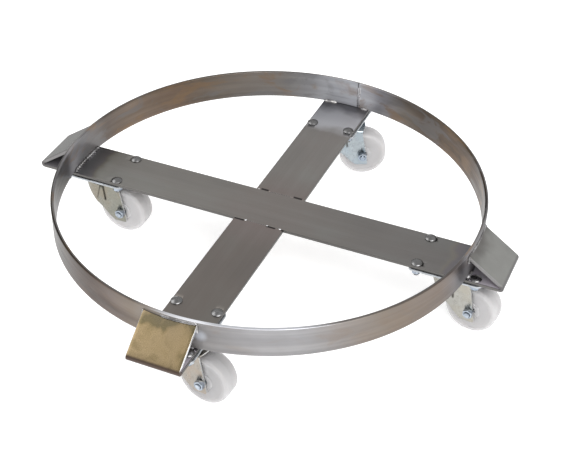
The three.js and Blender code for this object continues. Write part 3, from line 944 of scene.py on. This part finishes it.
def corner_weld_mesh(name, arm):
    """A short bead down the hoop at each end of a folded plate's top edge."""
    bm = bmesh.new()
    across = Vector((-math.sin(math.radians(arm)), math.cos(math.radians(arm)), 0))
    for side in (-1, 1):
        start = on_hoop(HOOP_R + 1.2, HOOP_TOP - BUMPER_DROP + 2, arm, 0, side * 38.2, 1)[1]
        path = [Vector(start) + Vector((0, 0, -1.6 * i)) for i in range(9)]
        add_bead(bm, path, lambda point, way=side * across: way, 2.0, 1.5, seed=side)
    return mesh_of(bm, f"{name}_corner_weld", 60)


def seam_mesh():
    bm = bmesh.new()
    a = math.radians(SEAM_ANGLE)
    out = Vector((math.cos(a), math.sin(a), 0))
    side = Vector((-math.sin(a), math.cos(a), 0))
    for radius, way in ((HOOP_BORE_R, -out), (HOOP_R - 0.2, out)):
        path = []
        for i in range(12):
            z = HOOP_LOW + 3 + (HOOP_TOP - HOOP_LOW - 9) * i / 11
            drift = 0.9 * noise.noise(Vector((z * 0.09, radius, 2)))
            path.append(out * radius + side * drift + Vector((0, 0, z)))
        add_bead(bm, path, lambda point, way=way: way, 2.6, 1.2, ripple=0.1)
    return mesh_of(bm, "hoop_seam", 60)


# Dressed flush welds on top of the middle joints, as shares of the bar's width, with tack dots.
MIDDLE_JOINTS = {
    "rear": {"side": 1, "flush": [(0.28, 0.71)], "dots": [(0.05, 0.9)]},
    "front": {
        "side": -1,
        "flush": [(0.23, 0.66), (0.84, 0.92)],
        "dots": [(0.23, 1.3), (0.67, 1.0), (0.93, 1.2)],
    },
}


def middle_meshes(name):
    """The flush beads with the beads underneath, and the tack dots."""
    joint = MIDDLE_JOINTS[name]
    y = joint["side"] * (BAR_HALF + GAP / 2)
    up, down = Vector((0, 0, 1)), Vector((0, 0, -1))
    beads, dots = bmesh.new(), bmesh.new()
    for ends in joint["flush"]:
        start, end = (BAR_HALF * (2 * share - 1) for share in ends)
        path = [(start + (end - start) * i / 8, y, BAR_TOP - 0.75) for i in range(9)]
        add_bead(beads, path, lambda point: up, 2.0, 0.85, ripple=0.02, wobble=0.05, seed=3)
    for start, end in ((-36, -8), (6, 36)):
        path = [(start + (end - start) * i / 10, y, BAR_LOW + 0.2) for i in range(11)]
        add_bead(beads, path, lambda point: down, 3.0, 1.4, seed=start)
    for share, size in joint["dots"]:
        x = BAR_HALF * (2 * share - 1)
        path = [(x - size, y, BAR_TOP - 0.2), (x + size, y, BAR_TOP - 0.2)]
        add_bead(dots, path, lambda point: up, 1.7 * size, 1.2, ripple=0.0, wobble=0.0)
    return mesh_of(beads, f"{name}_middle", 60), mesh_of(dots, f"{name}_tacks", 60)


# ---------- fasteners ----------


def thread_rows(radius, low, high, pitch=1.25, depth=0.55, steps=5):
    """Lathe entries of a screw thread from low to high."""
    rows = []
    count = int((high - low) / pitch * steps)
    for i in range(count + 1):
        z = low + (high - low) * i / count
        fade = min(1.0, (z - low) / pitch, (high - z) / pitch)

        def entry(angle, z=z, fade=fade):
            phase = (z / pitch - angle / TAU) % 1
            return radius - depth * (0.15 + 0.85 * fade * abs(2 * phase - 1)), z

        rows.append(entry)
    return rows


def hexagon(apothem, low, high, chamfer_low=True, chamfer_high=True):
    """Lathe entries of a hexagon's outside with chamfered corners, from low to high."""
    cone = apothem * 0.97

    def flank(z, sign, chamfered):
        def entry(angle):
            turn = (angle + TAU / 12) % (TAU / 6) - TAU / 12
            radius = min(apothem / math.cos(turn), apothem * 1.14)
            cut = max(0.0, radius - cone) * math.tan(math.radians(28)) if chamfered else 0.0
            return radius, z + sign * cut

        return entry

    return [
        (cone * 0.8, low),
        (cone, low),
        flank(low, 1, chamfer_low),
        flank((low + high) / 2, 0, False),
        flank(high, -1, chamfer_high),
        (cone, high),
        (cone * 0.8, high),
    ]


def nut_mesh(low, high):
    bore = 4.15
    rows = [(bore + 0.6, low), *hexagon(6.5, low, high), (bore + 0.6, high),
            (bore, high - 0.6), (bore, low + 0.6)]
    return lathe("nut", rows, 48, 30)


def square(half, z):
    """A lathe entry of a square section with its corners broken."""

    def entry(angle):
        turn = (angle + TAU / 8) % (TAU / 4) - TAU / 8
        return min(half / math.cos(turn), half * 1.36), z

    return entry


def bolt_mesh():
    """A carriage bolt on the Z axis: low dome with a thin rim, square neck, thread."""
    seat = BAR_TOP + GAP
    rise = bolt_high.z - seat - 0.9
    ball = (BOLT_HEAD_R**2 + rise**2) / (2 * rise)
    dome = [(BOLT_HEAD_R, seat + 0.1), (BOLT_HEAD_R, seat + 0.7)]
    for i in range(1, 9):
        radius = BOLT_HEAD_R * (1 - i / 9)
        dome.append((radius, seat + 0.9 + rise - ball + math.sqrt(ball * ball - radius * radius)))
    return lathe("carriage_bolt", [
        (0, bolt_low.z),
        (3.0, bolt_low.z),
        *thread_rows(3.95, bolt_low.z + 0.5, PLATE_TOP - 1),
        (3.95, PLATE_TOP),
        (3.95, BAR_TOP - 4.3),
        square(4.05, BAR_TOP - 4.0),
        square(4.05, seat),
        (BOLT_HEAD_R - 0.3, seat),
        *dome,
        (0, bolt_high.z),
    ], 48, 40)


# ---------- caster ----------


def top_plate_mesh():
    corner = 8
    outline = rounded(
        [(PLATE_X, -PLATE_Y, corner), (PLATE_X, PLATE_Y, corner), (-PLATE_X, PLATE_Y, corner),
         (-PLATE_X, -PLATE_Y, corner)],
        steps=10,
        closed=True,
    )
    plate = prism("top_plate", outline, PLATE_LOW, PLATE_TOP)
    bm = bmesh.new()
    for x, y in bolt_places():
        rows = [(0, PLATE_LOW - 5), (4.6, PLATE_LOW - 5), (4.6, PLATE_TOP + 5), (0, PLATE_TOP + 5)]
        add_lathe(bm, rows, 32, Matrix.Translation((x, y, 0)))
    rows = [(0, PLATE_LOW - 5), (6.6, PLATE_LOW - 5), (6.6, PLATE_TOP + 5), (0, PLATE_TOP + 5)]
    add_lathe(bm, rows, 40)
    return softened(carved(plate, "DIFFERENCE", mesh_of(bm, "holes")), 0.5)


def upper_race_mesh():
    low, skirt, top = balls_high.z + GAP, race_low.z, race_high.z
    radius = (race_high.x - race_low.x) / 2
    profile = [
        (6.3, low), (16.5, low), (19.5, low + 0.8, 1.5), (22.5, low), (radius - 2.4, low, 0.8),
        (radius - 2.4, skirt + 0.3), (radius - 1.9, skirt, 0.4), (radius - 0.4, skirt, 0.4),
        (radius, skirt + 0.5, 0.4), (radius, low + 1.6, 3.0), (radius - 4.5, top, 2.5), (6.3, top),
    ]
    return lathe("upper_race", rounded(profile, steps=5), 96)


def ball_ring_mesh():
    ball = (balls_high.z - balls_low.z) / 2 * 0.99
    middle = (balls_high.z + balls_low.z) / 2
    bm = bmesh.new()
    count = 21
    for i in range(count):
        a = TAU * i / count
        place = Matrix.Translation((19.5 * math.cos(a), 19.5 * math.sin(a), middle))
        bmesh.ops.create_uvsphere(bm, u_segments=20, v_segments=12, radius=ball, matrix=place)
    return mesh_of(bm, "ball_ring", 80)


def lower_race_mesh():
    low, high = lower_low.z, lower_high.z
    profile = [
        (6.3, low + 0.5), (6.8, low), (11.5, low, 1.0), (15.4, low + 1.6, 0.8),
        (15.4, high, 0.4), (6.3, high, 0.3),
    ]
    return lathe("lower_race", rounded(profile, steps=4), 72)


def kingpin_mesh():
    foot, seat, top = pin_low.z, lower_low.z - GAP, pin_high.z
    profile = [
        (0, foot + 0.8), (2.4, foot + 0.7, 0.5), (3.4, foot, 0.5), (7.2, foot, 1.5), (9.4, foot + 1.4, 0.8),
        (9.4, seat, 0.3), (5.95, seat, 0.3), (5.95, top - 0.4, 0.3), (5.5, top), (0, top),
    ]
    return lathe("kingpin", rounded(profile, steps=4), 64)


# The fork's legs seen from the side: X trails, then height. A third value rounds a corner.
LEG_SIDE = [
    (27, 20.3, 3), (44.4, 20.6, 2), (46.4, 22.8, 2), (36.1, 81.6), (90, 81.6), (90, 95), (-60, 95),
    (-60, 81), (-28.8, 81, 3), (-13.5, 57.5, 14), (-4, 46, 12), (9, 36.5, 10), (19.5, 26, 6),
]
PANEL = [
    (start + lean * below, PANEL_TOP - below)
    for (start, lean), below in zip(PANEL_SIDES + PANEL_SIDES[::-1], (0, 0, PANEL_DEPTH, PANEL_DEPTH))
]


def hood_outline(inset, rear=60, steps=24):
    """The hood's plan: flat sides, a narrow facet turning inwards, then the nose."""
    half, front = FORK_HALF - inset, FORK_FRONT - inset
    facet = half - 1.3
    nose = [(1 + (front + 1) * x, facet * y) for x, y in arc(0, 0, 1, 90, 270, steps)]
    return [(rear, -half), (rear, half), (14.5, half), *nose, (14.5, -half)]


def hood_solid(name, inset, low, high, bend):
    """A hood whose top edge turns over with the bend's radius."""
    levels = [(low, 0.0)]
    for i in range(7):
        a = TAU / 4 * i / 6
        levels.append((high - bend + bend * math.sin(a), bend * (1 - math.cos(a))))
    bm = bmesh.new()
    rows = []
    for z, more in levels:
        rows.append([bm.verts.new((x, y, z)) for x, y in hood_outline(inset + more)])
    for a, b in zip(rows, rows[1:]):
        for i in range(len(a)):
            j = (i + 1) % len(a)
            bm.faces.new((a[i], a[j], b[j], b[i]))
    for row in (rows[0], rows[-1]):
        bm.faces.new(row)
    return mesh_of(bm, name)


def panel_tools():
    """The pressed panels, one on each side of the hood."""
    middle = sum((Vector(p) for p in PANEL), Vector((0, 0))) / len(PANEL)
    bm = bmesh.new()
    for side in (-1, 1):
        rings = []
        for out, shrink in ((-1.9, 1.0), (-0.1, 1.0), (1.1, 0.9)):
            corners = [middle + (Vector(p) - middle) * shrink for p in PANEL]
            rings.append([(x, side * (FORK_HALF + out), z) for x, z in corners])
        add_loft(bm, rings)
    return mesh_of(bm, "panels")


def yoke_mesh():
    crown_low = CROWN_TOP - CROWN_THICK
    outside = hood_solid("outside", 0.05, 5, CROWN_TOP, 4.2)
    inside = hood_solid("inside", CROWN_THICK, 0, crown_low, 1.6)
    side = prism("side", rounded(LEG_SIDE, steps=6, closed=True), -60, 60, "Y")
    swing = lathe("swing", [(0, 0), (41, 0), (41, 120), (0, 120)], 96)
    below = prism("below", [(-60, -60), (90, -60), (90, 60), (-60, 60)], 0, 81.2)
    dish_r = yoke_high.y
    rim = [(0, crown_low), (dish_r - 1.4, crown_low, 1.2), (dish_r, CROWN_TOP - 0.9, 0.5),
           (dish_r, CROWN_TOP, 0.6), (0, CROWN_TOP)]
    dish = lathe("dish", rounded(rim, steps=4), 96)
    pin_hole = lathe("pin", [(0, 40), (6.6, 40), (6.6, 120), (0, 120)], 48)
    axle = prism("axle", arc(38, WHEEL_R, 4.3, 0, 360, 32)[:-1], -60, 60, "Y")
    keep = carved(swing, "UNION", below)
    shell = carved(outside, "DIFFERENCE", inside)
    shell = carved(shell, "INTERSECT", side, keep)
    shell = carved(shell, "UNION", dish, panel_tools())
    shell = carved(shell, "DIFFERENCE", pin_hole, axle)
    return softened(shell, 0.35, angle=45)


def wheel_mesh():
    """The wheel about Z, to be laid over: crowned tread, dished faces and a hub."""
    side = 15.0
    half = [
        (WHEEL_R - 0.02, 0.35), (WHEEL_R - 0.15, 0.6), (WHEEL_R - 0.15, side - 6),
        (WHEEL_R - 0.5, side - 3.0, 3), (WHEEL_R - 3.2, side, 3),
        (30.6, side, 0.6), (30.0, side - 0.5, 0.6), (27.0, side - 0.7, 1), (14.5, side - 0.6, 0.8),
        (13.2, side + 0.6, 0.8), (7.4, side + 0.7, 0.5), (6.6, side, 0.4),
    ]
    half = rounded(half, steps=6)
    other = [(r, -y) for r, y in reversed(half)]
    return lathe("wheel", other + half, 128)


def sleeve_mesh():
    end = (sleeve_high.y - sleeve_low.y) / 2
    profile = [(4.3, -end + 0.4), (4.7, -end), (5.6, -end), (6.0, -end + 0.4)]
    profile += [(r, -y) for r, y in reversed(profile)]
    return lathe("sleeve", profile, 48)


def axle_bolt_mesh():
    """Drawn along Z with its head on top, to be laid over with the wheel."""
    end, seat = axle_low.y, FORK_HALF + GAP
    return lathe("axle_bolt", [
        (0, end),
        (3.1, end),
        *thread_rows(3.9, end + 0.5, -10),
        (3.9, -9.5),
        (3.9, seat),
        (5.6, seat),
        (5.6, seat + 0.3),
        *hexagon(6.5, seat + 0.3, axle_high.y, chamfer_low=False)[1:],
        (0, axle_high.y),
    ], 48, 30)


def axle_nut_mesh():
    seat = -FORK_HALF - GAP
    return nut_mesh(seat - 6.5, seat)


# ---------- assembly ----------

ARMS = ("right", "rear", "left", "front")
laid_over = Matrix.Rotation(-math.pi / 2, 4, "X")  # +Z to +Y
caster_radius = Vector(joints["right_swivel_turn"]["pos_m"][:2]).length / MM

piece("hoop_fine", hoop_mesh(), "hoop", "frame", "hoop_steel", "hoop")
piece("hoop_seam_weld", seam_mesh(), "seam", "frame", "hoop_steel")
piece("through_crossbar_fine", through_bar_mesh(caster_radius), "bar_x", "frame", "bar_steel",
      "through_crossbar")

templates = {
    "bolt": bolt_mesh(),
    "nut": nut_mesh(bolt_low.z + 4.8, PLATE_LOW - GAP),
    "top_plate": top_plate_mesh(),
    "upper_race": upper_race_mesh(),
    "ball_ring": ball_ring_mesh(),
    "lower_race": lower_race_mesh(),
    "kingpin": kingpin_mesh(),
    "yoke": yoke_mesh(),
    "wheel": wheel_mesh(),
    "axle_sleeve": sleeve_mesh(),
    "axle_bolt": axle_bolt_mesh(),
    "axle_nut": axle_nut_mesh(),
}
half_bar = half_bar_mesh(caster_radius)

FIXED_PARTS = {
    "top_plate": ("plate", "plate_zinc"),
    "upper_race": ("race", "race_zinc"),
    "ball_ring": ("ball", "ball_steel"),
    "lower_race": ("race", "race_zinc"),
    "kingpin": ("bright", "bright_zinc"),
}
AXLE_PARTS = {
    "axle_sleeve": ("race", "race_zinc"),
    "axle_bolt": ("bright", "bright_zinc"),
    "axle_nut": ("bright", "bright_zinc"),
}


def build_caster(name):
    pin = Vector(joints[f"{name}_swivel_turn"]["pos_m"])
    axle = Vector(joints[f"{name}_wheel_roll"]["pos_m"])
    arm = math.atan2(pin.y, pin.x)
    trail = trail_of(name)
    at_pin = Matrix.Translation((pin.x, pin.y, 0))
    fixed = at_pin @ Matrix.Rotation(arm, 4, "Z")
    turning = at_pin @ Matrix.Rotation(trail, 4, "Z")
    on_axle = Matrix.Translation(axle) @ Matrix.Rotation(trail, 4, "Z") @ laid_over
    for part, (look, slot) in FIXED_PARTS.items():
        node = f"{name}_{part}"
        piece(f"{node}_fine", moved(templates[part], fixed), look, "frame", slot, node)
    for index, (x, y) in enumerate(bolt_places(), 1):
        node = f"{name}_bolt_{index}"
        spot = fixed @ Matrix.Translation((x * MM, y * MM, 0))
        bolt = moved(templates["bolt"], spot)
        nut = moved(templates["nut"], spot @ Matrix.Rotation(random.uniform(0, 1), 4, "Z"))
        piece(f"{node}_fine", bolt, "bolt", "frame", "bright_zinc", node)
        piece(f"{node}_nut", nut, "bright", "frame", "bright_zinc")
    yoke = moved(templates["yoke"], turning)
    piece(f"{name}_yoke_fine", yoke, f"{name}_fork", f"{name}_swivel", "fork_zinc", f"{name}_yoke")
    for part, (look, slot) in AXLE_PARTS.items():
        node = f"{name}_{part}"
        piece(f"{node}_fine", moved(templates[part], on_axle), look, f"{name}_swivel", slot, node)
    wheel = moved(templates["wheel"], on_axle)
    piece(f"{name}_wheel_fine", wheel, f"{name}_nylon", f"{name}_wheel_body", "wheel_nylon", f"{name}_wheel")
    return math.degrees(arm)


for name in ARMS:
    arm = build_caster(name)
    finish = "dressed" if name == "left" else "weld"
    piece(f"{name}_fillet_weld", fillet_mesh(name, arm), finish, "frame", "hoop_steel")
    piece(f"{name}_plate_weld", plate_weld_mesh(name, arm), "dressed", "frame", "hoop_steel")
    finish = "weld" if name == "front" else "dressed"
    piece(f"{name}_corner_weld", corner_weld_mesh(name, arm), finish, "frame", "hoop_steel")
    if name in MIDDLE_JOINTS:
        turned = moved(half_bar, Matrix.Rotation(math.radians(arm), 4, "Z"))
        node = f"{name}_crossbar"
        piece(f"{node}_fine", turned, f"bar_{name}", "frame", "bar_steel", node)
        beads, tacks = middle_meshes(name)
        piece(f"{name}_middle_weld", beads, "flush", "frame", "bar_steel")
        piece(f"{name}_tack_weld", tacks, "tack", "frame", "bar_steel")

# ---------- floor, light and camera ----------


def add_floor():
    bm = bmesh.new()
    bmesh.ops.create_grid(bm, x_segments=2, y_segments=2, size=6000)
    mesh = mesh_of(bm, "floor")
    mesh.materials.append(floor_look())
    floor = bpy.data.objects.new("floor", mesh)
    floor.location.z = -0.0005
    bpy.context.scene.collection.objects.link(floor)


def add_light(name, size, power, place, aim, colour=(1, 1, 1)):
    data = bpy.data.lights.new(name, "AREA")
    data.shape = "RECTANGLE"
    data.size, data.size_y = size
    data.energy = power
    data.color = colour
    light = bpy.data.objects.new(name, data)
    light.location = place
    light.rotation_euler = (Vector(aim) - Vector(place)).to_track_quat("-Z", "Y").to_euler()
    bpy.context.scene.collection.objects.link(light)


def add_world(strength):
    world = bpy.data.worlds.new("studio")
    world.use_nodes = True
    world.node_tree.nodes["Background"].inputs["Color"].default_value = (1, 1, 1, 1)
    world.node_tree.nodes["Background"].inputs["Strength"].default_value = strength
    bpy.context.scene.world = world


def add_camera():
    data = bpy.data.cameras.new("camera")
    data.lens = 83.94
    data.sensor_width = 36
    data.clip_start = 0.05
    camera = bpy.data.objects.new("camera", data)
    ahead = Vector((-0.3112, 0.7239, -0.6157)).normalized()
    right = ahead.cross(Vector((0, 0, 1))).normalized()
    right.rotate(Matrix.Rotation(math.radians(-0.57), 3, ahead))
    above = right.cross(ahead)
    turn = Matrix((right, above, -ahead)).transposed()
    camera.matrix_world = Matrix.Translation((0.6176, -1.3888, 1.2519)) @ turn.to_4x4()
    bpy.context.scene.collection.objects.link(camera)
    bpy.context.scene.camera = camera


add_floor()
add_world(0.75)
add_light("key", (2.2, 1.6), 60, (1.6, -1.4, 2.2), (0, 0, 0.1))
add_light("fill", (2.4, 2.0), 30, (-2.0, -0.6, 2.0), (0, 0, 0.1))
add_camera()
bpy.context.scene.view_settings.view_transform = "Standard"
